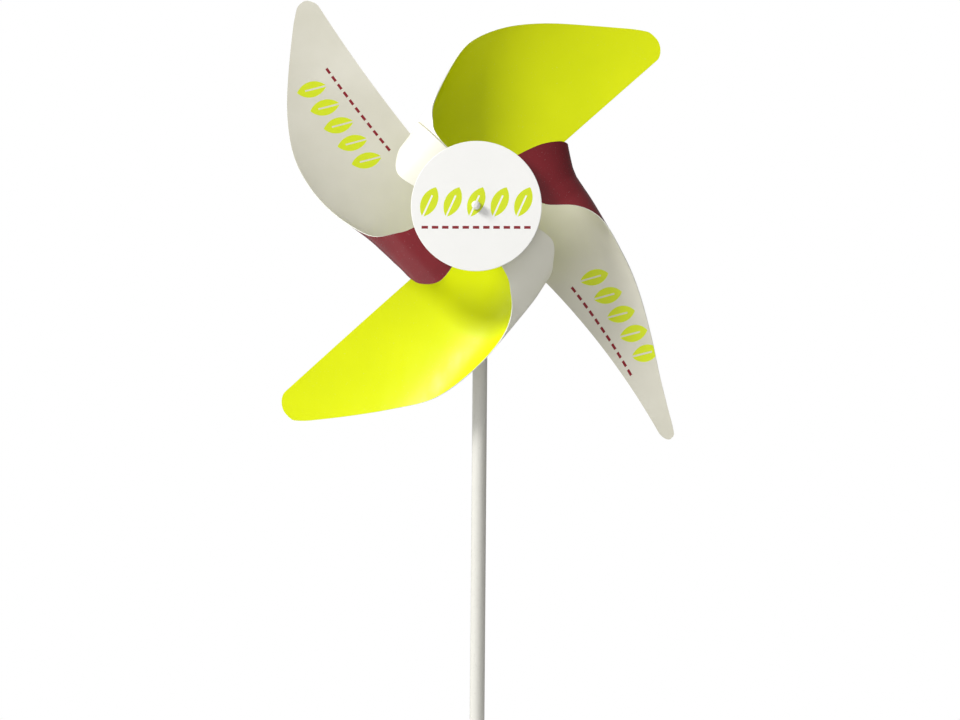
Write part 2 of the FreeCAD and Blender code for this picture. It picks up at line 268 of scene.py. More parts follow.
def raise_grain(material, shader, height, depth, strength):
    """A fine relief on the surface, depth metres deep."""
    node = material.node_tree.nodes.new("ShaderNodeBump")
    node.inputs["Strength"].default_value = strength
    node.inputs["Distance"].default_value = depth
    feed(material, height, node.inputs["Height"])
    feed(material, node.outputs["Normal"], shader.inputs["Normal"])


print("patterns are even in all directions unless a stretch other than", EVEN, "is given")

# %% [markdown]
# ## Moulded plastic
# The stick and the small parts are moulded or drawn plastic in shades of off-white. Such plastic is
# never quite even: its tone drifts over a few centimetres, its gloss is broken by fine marks, and
# its skin has a very slight ripple. One function makes this finish, and each part gets its own
# colour, gloss and direction of drawing.

# %% Define the moulded plastic finish
DRIFT_SCALE = 38.0
SPECK_SCALE = 900.0
SPECK_START = 0.62
SPECK_FULL = 0.72
SPECK_STRENGTH = 0.25
FLECK_DARKNESS = 0.8
MARK_SCALE = 160.0
GLOSS_BELOW = 0.06
GLOSS_ABOVE = 0.1
SKIN_DEPTH = 0.04 * MM
SKIN_STRENGTH = 0.35
PLASTIC_IOR = 1.5


def moulded_plastic(name, color, shade, gloss, stretch=EVEN, coat=0.0):
    """Off-white plastic, with its tone, roughness and skin varied by noise."""
    material, shader = new_finish(name)
    drawn = place_on_piece(material, stretch)
    plain = place_on_piece(material)
    drift = spread(material, noise(material, drawn, DRIFT_SCALE, 3.0), 0.0, 1.0)
    grains = noise(material, plain, SPECK_SCALE, 1.0)
    specks = spread(material, grains, 0.0, 1.0, SPECK_START, SPECK_FULL)
    tone = blend_colors(material, drift, color, shade)
    fleck = tuple(FLECK_DARKNESS * value for value in shade)
    speck_share = sum_of(material, "MULTIPLY", specks, SPECK_STRENGTH)
    feed(material, blend_colors(material, speck_share, tone, fleck), shader.inputs["Base Color"])
    rubbed = noise(material, drawn, MARK_SCALE, 4.0)
    roughness = spread(material, rubbed, gloss - GLOSS_BELOW, gloss + GLOSS_ABOVE)
    feed(material, roughness, shader.inputs["Roughness"])
    shader.inputs["IOR"].default_value = PLASTIC_IOR
    shader.inputs["Coat Weight"].default_value = coat
    shader.inputs["Coat Roughness"].default_value = 0.15
    raise_grain(material, shader, rubbed, SKIN_DEPTH, SKIN_STRENGTH)
    return material


print("the skin's ripple is", round(SKIN_DEPTH / MM, 3), "mm deep")

# %% [markdown]
# ## Finishes of the stick and the axle parts
# The CAD shapes of these parts are right, so they stay and only their finish changes. The tube is
# drawn lengthwise, which leaves faint streaks along it. The head is duller than the tube, and the
# caps and washers are a little whiter and glossier.

# %% Give the carried-over parts their finishes
ALONG_STICK = (1.0, 1.0, 0.06)
ivory = moulded_plastic("stick_ivory", (0.68, 0.67, 0.62), (0.63, 0.62, 0.56), 0.30, ALONG_STICK, 0.25)
plug = moulded_plastic("plug_ivory", (0.70, 0.69, 0.62), (0.62, 0.61, 0.54), 0.45)
head = moulded_plastic("head_ivory", (0.74, 0.73, 0.67), (0.68, 0.67, 0.60), 0.40)
axle = moulded_plastic("axle_white", (0.78, 0.78, 0.74), (0.72, 0.72, 0.67), 0.28)
washer = moulded_plastic("washer_white", (0.82, 0.82, 0.79), (0.76, 0.76, 0.72), 0.30)
hub = moulded_plastic("hub_white", (0.80, 0.80, 0.77), (0.74, 0.74, 0.70), 0.32)
cap = moulded_plastic("cap_white", (0.82, 0.82, 0.78), (0.76, 0.76, 0.71), 0.26, coat=0.3)

CARRIED_OVER = {
    "stick_tube": ivory,
    "stick_end_plug": plug,
    "axle_head": head,
    "axle_lock_cap": head,
    "axle_pin": axle,
    "rear_washer": washer,
    "rear_clamp_washer": washer,
    "flap_washer": washer,
    "hub_tube": hub,
    "spacer_tube": hub,
    "nose_cap": cap,
}
for node_name, finish in CARRIED_OVER.items():
    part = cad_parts[node_name]
    for material_slot in part.material_slots:
        material_slot.material = finish
    print(node_name, "now has", finish.name, "in", len(part.material_slots), "slot")

# %% [markdown]
# ## The print
# The cover disc and the white wings carry a small decoration. Here it is a row of leaves over a
# dashed line. It is drawn by arithmetic instead of an image: wrapping a coordinate repeats a shape
# along a row, and a leaf is where two circles overlap. The result has sharp edges at any size.

# %% Sizes of the print
LEAF_SPACING = 12.4 * MM
LEAF_HALF_LENGTH = 8.6 * MM
LEAF_HALF_WIDTH = 4.3 * MM
LEAF_TILT = math.radians(24.0)
VEIN_HALF_WIDTH = 0.45 * MM
VEIN_END_PART = 0.45
LEAVES_EACH_SIDE = 2
DASHES_EACH_SIDE = 5
DASH_SPACING = 5.4 * MM
DASH_HALF_LENGTH = 1.7 * MM
DASH_HALF_WIDTH = 0.75 * MM
DASH_DROP = 13.4 * MM
LEAF_RISE = 2.0 * MM
print("the leaf row is", round((2 * LEAVES_EACH_SIDE + 1) * LEAF_SPACING / MM, 1), "mm long at full size")
print("the dash row is", round((2 * DASHES_EACH_SIDE + 1) * DASH_SPACING / MM, 1), "mm long at full size")

# %% Sums that the print is drawn with


def inside(material, value, limit):
    """1 where the size of the value is under the limit, else 0."""
    return sum_of(material, "LESS_THAN", sum_of(material, "ABSOLUTE", value), limit)


def wrapped(material, value, spacing):
    """The value wrapped into one spacing about zero."""
    return sum_of(material, "WRAP", value, spacing / 2, -spacing / 2)


def length_of(material, across, up):
    """Distance of a point from the origin of its two coordinates."""
    across_squared = sum_of(material, "POWER", across, 2.0)
    up_squared = sum_of(material, "POWER", up, 2.0)
    return sum_of(material, "SQRT", sum_of(material, "ADD", across_squared, up_squared))


print("drawing sums ready:", inside.__name__, wrapped.__name__, length_of.__name__)

# %% Draw the leaves and the dashes


def leaf_row(material, along, up, scale):
    """1 inside a row of leaves. along and up are sockets in metres."""
    spacing = LEAF_SPACING * scale
    half_length = LEAF_HALF_LENGTH * scale
    half_width = LEAF_HALF_WIDTH * scale
    local = wrapped(material, along, spacing)
    lifted = sum_of(material, "SUBTRACT", up, LEAF_RISE * scale)
    tilt_cos, tilt_sin = math.cos(LEAF_TILT), math.sin(LEAF_TILT)
    across = sum_of(
        material, "SUBTRACT",
        sum_of(material, "MULTIPLY", local, tilt_cos), sum_of(material, "MULTIPLY", lifted, tilt_sin),
    )
    long_way = sum_of(
        material, "ADD",
        sum_of(material, "MULTIPLY", local, tilt_sin), sum_of(material, "MULTIPLY", lifted, tilt_cos),
    )
    radius = (half_length ** 2 + half_width ** 2) / (2 * half_width)
    shift = radius - half_width
    left = length_of(material, sum_of(material, "ADD", across, shift), long_way)
    right = length_of(material, sum_of(material, "SUBTRACT", across, shift), long_way)
    leaf = sum_of(material, "LESS_THAN", sum_of(material, "MAXIMUM", left, right), radius)
    vein = inside(material, across, VEIN_HALF_WIDTH * scale)
    vein_end = sum_of(material, "LESS_THAN", long_way, half_length * VEIN_END_PART)
    vein = sum_of(material, "MULTIPLY", vein, vein_end)
    leaf = sum_of(material, "SUBTRACT", leaf, sum_of(material, "MULTIPLY", leaf, vein))
    row_end = (LEAVES_EACH_SIDE + 0.5) * spacing
    return sum_of(material, "MULTIPLY", leaf, inside(material, along, row_end))


def dash_row(material, along, up, scale):
    """1 inside a row of short dashes under the leaves."""
    row_end = (DASHES_EACH_SIDE + 0.5) * DASH_SPACING * scale
    local = wrapped(material, along, DASH_SPACING * scale)
    lowered = sum_of(material, "ADD", up, (DASH_DROP - LEAF_RISE) * scale)
    dash = sum_of(
        material, "MULTIPLY",
        inside(material, local, DASH_HALF_LENGTH * scale), inside(material, lowered, DASH_HALF_WIDTH * scale),
    )
    return sum_of(material, "MULTIPLY", dash, inside(material, along, row_end))


leaf_radius = (LEAF_HALF_LENGTH ** 2 + LEAF_HALF_WIDTH ** 2) / (2 * LEAF_HALF_WIDTH)
print("a leaf is where two circles of radius", round(leaf_radius / MM, 1), "mm overlap")

# %% Ink colours
LIME = (0.73, 0.80, 0.003)
LIME_SHADE = (0.68, 0.76, 0.002)
BURGUNDY = (0.23, 0.008, 0.016)
BURGUNDY_SHADE = (0.16, 0.006, 0.011)
PRINT_LIME = (0.62, 0.72, 0.01)
# The wings' white ink is a warm white of its own. A yellow-green tint is added to it as painted lime light,
# bounced onto it from the lime wings.
WING_WHITE_PAINTED_LIME_BOUNCE = (0.69, 0.67, 0.575)
WING_WHITE_DRIFT_PAINTED_LIME_BOUNCE = (0.62, 0.60, 0.50)
# The lime sheet's back is white. An olive tint is added to it as painted lime light, bounced onto it from the
# lime wings.
BACK_WHITE_PAINTED_LIME_BOUNCE = (0.77, 0.755, 0.66)
BACK_WHITE_DRIFT_PAINTED_LIME_BOUNCE = (0.72, 0.705, 0.60)
DISC_WHITE = (0.88, 0.875, 0.85)
DISC_WHITE_SHADE = (0.85, 0.845, 0.82)
CUT_EDGE = (0.80, 0.80, 0.74)
CUT_EDGE_SHADE = (0.70, 0.70, 0.62)
print("the lime ink reflects", LIME[1], "of green light and", LIME[2], "of blue")

# %% [markdown]
# ## Printed foil
# The wings are stiff foil, about half a millimetre thick, with a different colour on each side. Ink
# gives it a smooth half-gloss surface. The finish has a faint drift in the ink, fine rub marks that
# break the gloss, and a very shallow waviness that makes reflections run unevenly, as they do on
# thin sheet. The print is laid on where it is wanted.

# %% Define the foil finish
INK_DRIFT_SCALE = 26.0
DUST_SCALE = 1300.0
DUST_START = 0.66
DUST_FULL = 0.76
DUST_STRENGTH = 0.35
RUB_SCALE = 210.0
RUBBED_UPWARDS = (1.0, 1.0, 0.25)
WAVE_SCALE = 55.0
WAVE_DEPTH = 0.2 * MM
FOIL_IOR = 1.48
FOIL_GLOSS_BELOW = 0.05
FOIL_GLOSS_ABOVE = 0.08


def foil(name, color, shade, gloss, sheen=0.5, wave=0.25, row=None):
    """Half-gloss ink on thin sheet. row gives the sockets and scale of the print, if it has one."""
    material, shader = new_finish(name)
    place = place_on_piece(material)
    drift = spread(material, noise(material, place, INK_DRIFT_SCALE, 3.0), 0.0, 1.0)
    tone = blend_colors(material, drift, color, shade)
    grains = noise(material, place, DUST_SCALE, 2.0)
    dust = spread(material, grains, 0.0, DUST_STRENGTH, DUST_START, DUST_FULL)
    dusty = tuple(min(1.0, 0.7 * value + 0.2) for value in color)
    tone = blend_colors(material, dust, tone, dusty)
    if row:
        along, up, scale = row(material)
        tone = blend_colors(material, leaf_row(material, along, up, scale), tone, PRINT_LIME)
        tone = blend_colors(material, dash_row(material, along, up, scale), tone, BURGUNDY)
    feed(material, tone, shader.inputs["Base Color"])
    rubbed = noise(material, place_on_piece(material, RUBBED_UPWARDS), RUB_SCALE, 5.0)
    roughness = spread(material, rubbed, gloss - FOIL_GLOSS_BELOW, gloss + FOIL_GLOSS_ABOVE)
    feed(material, roughness, shader.inputs["Roughness"])
    shader.inputs["IOR"].default_value = FOIL_IOR
    shader.inputs["Specular IOR Level"].default_value = sheen
    waves = noise(material, place, WAVE_SCALE, 2.0)
    raise_grain(material, shader, waves, WAVE_DEPTH, wave)
    return material


print("the foil's waviness is", round(WAVE_DEPTH / MM, 2), "mm deep")

# %% Lay the print on a piece


def row_on_disc(material):
    """The print's row across the disc, level with the ground."""
    place = material.node_tree.nodes.new("ShaderNodeTexCoord")
    split = material.node_tree.nodes.new("ShaderNodeSeparateXYZ")
    feed(material, place.outputs["Object"], split.inputs["Vector"])
    return split.outputs["X"], sum_of(material, "SUBTRACT", split.outputs["Z"], HUB_HEIGHT), 1.0


def row_on_wing(material):
    """The print's row along a white wing, as the wing's points remember it."""
    place = material.node_tree.nodes.new("ShaderNodeAttribute")
    place.attribute_name = "print_place"
    split = material.node_tree.nodes.new("ShaderNodeSeparateXYZ")
    feed(material, place.outputs["Vector"], split.inputs["Vector"])
    return split.outputs["X"], split.outputs["Y"], 1.0


print("a row on a piece gives:", "along, up and scale")

# %% Make the foil finishes
lime_front = foil("lime_ink", LIME, LIME_SHADE, 0.34, sheen=0.2)
# The white back's two colours carry the painted lime-bounce tint.
lime_back = foil("lime_sheet_white_back_painted_lime_bounce", BACK_WHITE_PAINTED_LIME_BOUNCE, BACK_WHITE_DRIFT_PAINTED_LIME_BOUNCE, 0.36)
# The white front's two colours carry the painted lime-bounce tint.
white_front = foil("white_ink_painted_lime_bounce_with_print", WING_WHITE_PAINTED_LIME_BOUNCE, WING_WHITE_DRIFT_PAINTED_LIME_BOUNCE, 0.34, sheen=0.4, row=row_on_wing)
white_back = foil("burgundy_ink", BURGUNDY, BURGUNDY_SHADE, 0.17, sheen=0.5)
cut_edge = foil("foil_cut_edge", CUT_EDGE, CUT_EDGE_SHADE, 0.5)
for foil_finish in (lime_front, lime_back, white_front, white_back, cut_edge):
    print("foil finish made:", foil_finish.name)

# %% [markdown]
# ## How a wing is curled
# Each wing starts flat beside the hub. Its outer side curls forward and comes back over the hub as
# a flap with a round tongue, which the axle pins down. Every cross-section is a loop, set out like
# a Bezier curve: flat at the start, then forward and over. Near the hub the sheet follows the loop
# all the way, and towards the tip it stops sooner, so that the loop opens into the blade. A curve
# through a few values, with no overshoot, says how wide and how high the loops are along a wing.

# %% Measures of the four wings, in millimetres
LOOP_STATIONS = (-0.1, 0.15, 0.45, 1.0)
EDGE_STATIONS = (0.08, 0.13, 0.19, 0.28, 0.40, 0.55, 0.70, 0.85, 1.0)
FLAP_SHARES = (0.0, 0.06, 0.25, 0.5, 0.65, 0.8, 1.0, 1.5, 2.0)
ROOT_SHARE = 0.09
LOOP_END = 13.0
TONGUE_RADIUS = 12.0
SEAM = 9.0
TIP_ROUND = 8.0
BLADE_START = 1.2
FLAP_END_SHARE = 1.2
KNEE_PART = 0.7
KNEE_SHARE = 0.9
KNEE_LIMIT = 0.88
ROW_CROWDING = 1.5
TIP_TURN = 80.0
FLAP_ROWS = 16
BLADE_ROWS = 54
TIP_ROWS = 14
COLUMNS = 72

WINGS = {
    "lime_upper": dict(
        turn=0.0,
        length=137.2,
        reach=(70.1, 77.0, 97.6, 109.9),
        height=(39.93, 48.78, 59.8),
        skew=(0.10, -0.05, 0.0, 0.0),
        slit=(-2.8, -0.2),
        lift=-2.0,
        edge=(0.855, 0.705, 0.60, 0.52, 0.45, 0.34, 0.23, 0.13, 0.05),
        flap_edge=(-9.0, -2.0, 1.0, 2.5, -10.0, -18.5, -13.0, -12.0, -6.0),
    ),
    "lime_lower": dict(
        turn=180.0,
        length=150.8,
        reach=(65.3, 73.5, 84.5, 108.4),
        height=(39.38, 48.68, 59.8),
        skew=(0.10, -0.05, 0.0, 0.0),
        slit=(-2.4, 1.6),
        lift=-0.2,
        edge=(0.89, 0.76, 0.65, 0.53, 0.43, 0.33, 0.21, 0.12, 0.05),
        flap_edge=(-9.0, -5.0, -4.0, -3.6, -9.0, -17.5, -13.0, -12.0, -6.0),
    ),
    "white_lower": dict(
        turn=0.0,
        length=159.5,
        reach=(81.0, 64.0, 52.0, 59.8),
        height=(39.0, 47.9, 60.0),
        skew=(0.11, 0.08, -0.08, -0.1),
        slit=(-1.5, -27.0),
        lift=-1.0,
        edge=(0.93, 0.89, 0.77, 0.63, 0.475, 0.32, 0.195, 0.10, 0.045),
        print_middle=(91.5, 17.5),
        print_turn=-4.5,
        flap_edge=(-9.0, 1.5, 2.5, 2.5, -1.0, -6.0, -10.0, -12.0, -6.0),
    ),
    "white_upper": dict(
        turn=180.0,
        length=154.5,
        reach=(65.7, 69.0, 87.0, 108.7),
        height=(39.55, 48.1, 60.0),
        skew=(0.10, -0.05, 0.0, 0.0),
        slit=(-6.3, -11.4),
        lift=3.0,
        edge=(0.92, 0.76, 0.61, 0.505, 0.40, 0.31, 0.21, 0.115, 0.035),
        print_middle=(88.5, 26.5),
        print_turn=1.0,
        flap_edge=(-9.0, 0.5, 0.5, -0.5, -11.0, -17.5, -13.0, -12.0, -6.0),
    ),
}
for wing_name, wing in WINGS.items():
    print(wing_name, "is", wing["length"], "mm from the hub to its tip")

# %% A smooth curve through a few values


def end_slope(step_near, step_far, rate_near, rate_far):
    """Slope of a monotone curve at its first or last knot."""
    slope = ((2 * step_near + step_far) * rate_near - step_near * rate_far) / (step_near + step_far)
    if slope * rate_near <= 0:
        return 0.0
    if rate_near * rate_far < 0 and abs(slope) > 3 * abs(rate_near):
        return 3 * rate_near
    return slope


def smooth_through(knots, values, position):
    """A smooth curve through the values at the knots, with no overshoot between them."""
    count = len(knots)
    steps = [knots[i + 1] - knots[i] for i in range(count - 1)]
    rates = [(values[i + 1] - values[i]) / steps[i] for i in range(count - 1)]
    slopes = [end_slope(steps[0], steps[1], rates[0], rates[1])]
    for i in range(1, count - 1):
        if rates[i - 1] * rates[i] <= 0:
            slopes.append(0.0)
        else:
            weight_left = 2 * steps[i] + steps[i - 1]
            weight_right = steps[i] + 2 * steps[i - 1]
            shares = weight_left / rates[i - 1] + weight_right / rates[i]
            slopes.append((weight_left + weight_right) / shares)
    slopes.append(end_slope(steps[-1], steps[-2], rates[-1], rates[-2]))
    place = min(max(position, knots[0]), knots[-1])
    span = 0
    while span < count - 2 and place > knots[span + 1]:
        span += 1
    t = (place - knots[span]) / steps[span]
    rise = values[span + 1] - values[span]
    start = slopes[span] * steps[span]
    end = slopes[span + 1] * steps[span]
    return values[span] + t * (start + t * (3 * rise - 2 * start - end + t * (start + end - 2 * rise)))


print("halfway along, the upper lime wing's loops reach",
      round(smooth_through(LOOP_STATIONS, WINGS["lime_upper"]["reach"], 0.5), 1), "mm")

# %% Points of a wing in its own flat frame


def loop_point(wing, base, share):
    """Point of the loop that starts at the distance base from the hub, share of the way round it."""
    part = base / wing["length"]
    reach = smooth_through(LOOP_STATIONS, wing["reach"], part)
    height = smooth_through(LOOP_STATIONS[1:], wing["height"], part)
    skew = smooth_through(LOOP_STATIONS, wing["skew"], part)
    out = min(max((part - ROOT_SHARE) / (1 - ROOT_SHARE), 0.0), 1.0)
    slit = wing["slit"][0] * out + wing["slit"][1] * (out * out - out)
    lift = wing["lift"] * out * out
    if share > 1:
        across = slit + LOOP_END - (share - 1) * (LOOP_END + TONGUE_RADIUS)
        return Vector((base, across, lift + height))
    rest = 1 - share
    first = 3 * share * rest * rest
    second = 3 * share * share * rest
    last = share ** 3
    along = base + (first + second) * skew * reach
    across = slit + (first + second) * reach + last * LOOP_END
    return Vector((along, across, lift + (second + last) * height))


def tongue_share(base):
    """Share at which the round end of the flap's tongue stops."""
    half = math.sqrt(max(TONGUE_RADIUS ** 2 - base * base, 0.0))
    return 1 + (LOOP_END + half) / (LOOP_END + TONGUE_RADIUS)


print("a point a third of the way round a loop:", loop_point(WINGS["lime_upper"], 60.0, 1 / 3))

# %% Where a row of points stops


def edge_share(wing, base):
    """How far round its loop the sheet reaches at the distance base from the hub."""
    knots = [SEAM, SEAM + BLADE_START] + [station * wing["length"] for station in EDGE_STATIONS]
    values = [tongue_share(SEAM), FLAP_END_SHARE] + list(wing["edge"])
    return smooth_through(knots, values, base)


def share_at(stop, part):
    """Share of the loop at a part of the way across a row, kept alike on rows of unlike length."""
    knee = min(KNEE_LIMIT, KNEE_SHARE * stop)
    if part <= KNEE_PART:
        return knee * part / KNEE_PART
    return knee + (stop - knee) * (part - KNEE_PART) / (1 - KNEE_PART)


stop_at_60 = edge_share(WINGS["lime_upper"], 60.0)
print("60 mm out, the upper lime wing stops at", round(stop_at_60, 2), "of its loop")

# %% Rows of points over the flap and the blade


def flap_rows(wing):
    """Rows of points across the flap, from its free edge to the seam with the blade."""
    rows = []
    for row in range(FLAP_ROWS + 1):
        part = row / FLAP_ROWS
        base = -SEAM + part * 2 * SEAM
        stop = tongue_share(base)
        points = []
        for column in range(COLUMNS + 1):
            share = share_at(stop, column / COLUMNS)
            inner = loop_point(wing, SEAM, share)
            free = smooth_through(FLAP_SHARES, wing["flap_edge"], share)
            near = loop_point(wing, base, share)
            points.append(Vector((free + (inner.x - free) * part, near.y, near.z)))
        rows.append((base, points))
    return rows


def blade_rows(wing):
    """Rows of points across the blade, from the seam with the flap to the rounded tip."""
    straight_end = wing["length"] - TIP_ROUND
    bases = []
    for row in range(1, BLADE_ROWS + 1):
        bases.append((SEAM + (straight_end - SEAM) * (row / BLADE_ROWS) ** ROW_CROWDING, 0.0))
    for row in range(1, TIP_ROWS + 1):
        turn = math.radians(TIP_TURN * row / TIP_ROWS)
        bases.append((straight_end + TIP_ROUND * math.sin(turn), 0.5 * (1 - math.cos(turn))))
    rows = []
    for base, inset in bases:
        stop = edge_share(wing, base)
        points = []
        for column in range(COLUMNS + 1):
            part = inset + (1 - 2 * inset) * column / COLUMNS
            points.append(loop_point(wing, base, share_at(stop, part)))
        rows.append((base, points))
    return rows


print("a wing has", FLAP_ROWS + 1 + BLADE_ROWS + TIP_ROWS, "rows of points")

# %% [markdown]
# ## Modelling a sheet
# A wing starts as a flat grid, one row of squares for each cross-section, and every corner of the
# grid is moved to its place on the curled sheet. Two wings half a turn apart are joined along the
# hub line into one strip. A Solidify modifier then gives the strip its half millimetre, with one
# material on the front, another on the back and a third on the cut edge, and a Boolean with a
# round bar opens the hole for the hub. Each point also remembers where it lay on the flat sheet,
# seen from the middle of the print, in the attribute print_place, so that a print can follow the curl.

# %% Make one wing from a grid


def curl_wing(name, wing):
    """A single surface for one wing, in its sheet's flat frame."""
    rows = flap_rows(wing) + blade_rows(wing)
    last_row = len(rows) - 1
    bpy.ops.object.select_all(action="DESELECT")
    bpy.ops.mesh.primitive_grid_add(x_subdivisions=last_row, y_subdivisions=COLUMNS, size=1.0)
    piece = start_piece(name)
    lengths = []
    for base, points in rows:
        run = [0.0]
        for before, after in zip(points, points[1:]):
            run.append(run[-1] + (after - before).length)
        lengths.append(run)
    print_place = piece.data.attributes.new("print_place", "FLOAT_VECTOR", "POINT")
    print_middle = Vector((*wing.get("print_middle", (0.0, 0.0)), 0.0))
    print_turn = Matrix.Rotation(math.radians(-wing.get("print_turn", 0.0)), 3, "Z")
    spin = Matrix.Rotation(math.radians(wing["turn"]), 3, "Z")
    for vertex in piece.data.vertices:
        row = round((vertex.co.x + 0.5) * last_row)
        column = round((vertex.co.y + 0.5) * COLUMNS)
        base, points = rows[row]
        on_flat = Vector((base, lengths[row][column], 0.0))
        print_place.data[vertex.index].vector = print_turn @ (on_flat - print_middle) * MM
        vertex.co = spin @ points[column] * MM
    return piece


print("each wing's grid has", COLUMNS + 1, "points across")

# %% Join two wings into a sheet with a thickness and a hub hole
SHEET_THICKNESS = 0.5 * MM
MERGE_DISTANCE = 0.02 * MM
HUB_HOLE_RADIUS = 2.55 * MM
HUB_HOLE_SIDES = 48
HUB_DRILL_LENGTH = 160 * MM
SHEET_SMOOTH_ANGLE = 30.0


def make_sheet(name, first_wing, second_wing, materials, level, angle):
    """A finished sheet, stood up to face -Y at its depth and angle on the hub."""
    first = curl_wing(name, WINGS[first_wing])
    second = curl_wing(name + "_second", WINGS[second_wing])
    select_only(first, second)
    bpy.ops.object.join()
    bpy.ops.object.mode_set(mode="EDIT")
    bpy.ops.mesh.select_all(action="SELECT")
    bpy.ops.mesh.remove_doubles(threshold=MERGE_DISTANCE)
    bpy.ops.object.mode_set(mode="OBJECT")
    for material in materials:
        first.data.materials.append(material)
    solidify = first.modifiers.new("thickness", "SOLIDIFY")
    solidify.thickness = SHEET_THICKNESS
    solidify.offset = 0.0
    solidify.material_offset = 1
    solidify.material_offset_rim = 2
    apply_modifiers(first)
    cut_round_hole(first, HUB_HOLE_RADIUS, HUB_HOLE_SIDES, HUB_DRILL_LENGTH)

    stand_up = Matrix.Rotation(math.pi / 2, 4, "X") @ Matrix.Rotation(math.radians(angle), 4, "Z")
    first.matrix_world = Matrix.Translation((0.0, -level, HUB_HEIGHT)) @ stand_up
    finish_piece(first, SHEET_SMOOTH_ANGLE)
    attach(first, "wheel")
    return first


print("the foil is", round(SHEET_THICKNESS / MM, 2), "mm thick, with a hole for the hub tube")

# %% Make the lime sheet
LIME_LEVEL = 8.5 * MM
LIME_ANGLE = 43.2
lime_wings = make_sheet(
    "lime_wings", "lime_upper", "lime_lower", (lime_front, lime_back, cut_edge), LIME_LEVEL, LIME_ANGLE
)
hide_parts("lime_sheet")

# %% Make the white sheet
WHITE_LEVEL = 7.76 * MM
WHITE_ANGLE = -50.2
white_wings = make_sheet(
    "white_wings", "white_lower", "white_upper", (white_front, white_back, cut_edge), WHITE_LEVEL, WHITE_ANGLE
)
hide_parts("white_sheet")

# %% [markdown]
# ## The cover disc
# A round white disc hides the four flap ends. It is a stamped or moulded plate with softly rounded
# edges, and on its back it has a collar that grips the hub tube. It could be spun from a half
# profile, but it starts here as a cylinder, because the plate's flat faces then come out exactly
# flat. The back face is inset and extruded into the collar, two Booleans open the bore and the axle
# hole, and a Bevel rounds the edges. The large flat faces would shade unevenly beside such small
# rounded edges, so a Weighted Normal modifier makes them even again.

# %% Sizes of the cover disc
DISC_LOW, DISC_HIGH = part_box("front_disc")
DISC_SIDES = 192
DISC_THICKNESS = 0.8 * MM
DISC_BACK = DISC_LOW[1] + DISC_THICKNESS
DISC_ROUNDING = 0.3 * MM
COLLAR_RADIUS = 4.5 * MM
COLLAR_BORE = 2.52 * MM
AXLE_HOLE = 1.55 * MM
HOLE_SIDES = 64
SLIGHT_OVERLAP = 0.02 * MM
DEPTH_TOLERANCE = 0.02 * MM
DRILL_PAST = 1.0 * MM
UPRIGHT = (math.pi / 2, 0.0, 0.0)
print("the plate is", round(DISC_THICKNESS / MM, 2), "mm thick")
print("with its collar it is", round((DISC_HIGH[1] - DISC_LOW[1]) / MM, 2), "mm deep")

# %% Press the plate
bpy.ops.object.select_all(action="DESELECT")
bpy.ops.mesh.primitive_cylinder_add(
    vertices=DISC_SIDES,
    radius=DISC_RADIUS,
    depth=DISC_THICKNESS,
    location=(0.0, DISC_LOW[1] + DISC_THICKNESS / 2, HUB_HEIGHT),
    rotation=UPRIGHT,
)
cover_disc = start_piece("cover_disc")
bpy.ops.object.transform_apply(location=True, rotation=True, scale=True)
print("the plate starts with", len(cover_disc.data.polygons), "faces")

# %% Raise the collar from the plate's back


def select_faces_at(piece, depth):
    """Select only the faces that face along Y at this depth, and stay in edit mode."""
    bpy.ops.object.mode_set(mode="EDIT")
    bpy.ops.mesh.select_mode(type="FACE")
    bpy.ops.object.mode_set(mode="OBJECT")
    for face in piece.data.polygons:
        faces_along = abs(abs(face.normal.y) - 1) < 0.01
        face.select = faces_along and abs(face.center.y - depth) < DEPTH_TOLERANCE
    bpy.ops.object.mode_set(mode="EDIT")


select_faces_at(cover_disc, DISC_BACK)
bpy.ops.mesh.inset(thickness=DISC_RADIUS - COLLAR_RADIUS, depth=0.0)
bpy.ops.mesh.extrude_region_move(
    TRANSFORM_OT_translate={"value": (0.0, DISC_HIGH[1] - DISC_BACK, 0.0), "orient_type": "GLOBAL"}
)
bpy.ops.object.mode_set(mode="OBJECT")
print("with its collar the disc has", len(cover_disc.data.polygons), "faces")

# %% Open the collar's bore and the axle hole


def drill_disc(radius, start, stop):
    """Cut a round hole on the wheel's axis between two depths."""
    place = (0.0, (start + stop) / 2, HUB_HEIGHT)
    cut_round_hole(cover_disc, radius, HOLE_SIDES, stop - start, place, UPRIGHT)


drill_disc(COLLAR_BORE, DISC_BACK - SLIGHT_OVERLAP, DISC_HIGH[1] + DRILL_PAST)
drill_disc(AXLE_HOLE, DISC_LOW[1] - DRILL_PAST, DISC_BACK + DRILL_PAST)

# %% Round the disc's edges and smooth it
rounding = cover_disc.modifiers.new("rounding", "BEVEL")
rounding.width = DISC_ROUNDING
rounding.segments = 3
rounding.limit_method = "ANGLE"
rounding.angle_limit = math.radians(50.0)
apply_modifiers(cover_disc)
disc_finish = foil("disc_white_with_print", DISC_WHITE, DISC_WHITE_SHADE, 0.38, wave=0.1, row=row_on_disc)
cover_disc.data.materials.append(disc_finish)
finish_piece(cover_disc)
even_normals = cover_disc.modifiers.new("even_normals", "WEIGHTED_NORMAL")
even_normals.keep_sharp = True
even_normals.weight = 100
apply_modifiers(cover_disc)

# %% Fit the disc to the wheel
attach(cover_disc, "wheel")
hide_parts("front_disc")
print(cover_disc.name, "turns with the wheel and stands for the CAD disc")

# %% [markdown]
# ## Floor, light and background
# The studio is plain: a pale round floor that fades into the white background, a soft key light from
# the upper left in front, a weak large light from behind, and a white surround. The surround is
# brightest on the key light's side, as a wall beside a lamp is. To the camera it is plain white, as a
# backdrop that is lit on its own, so the object keeps its shading against clean white.

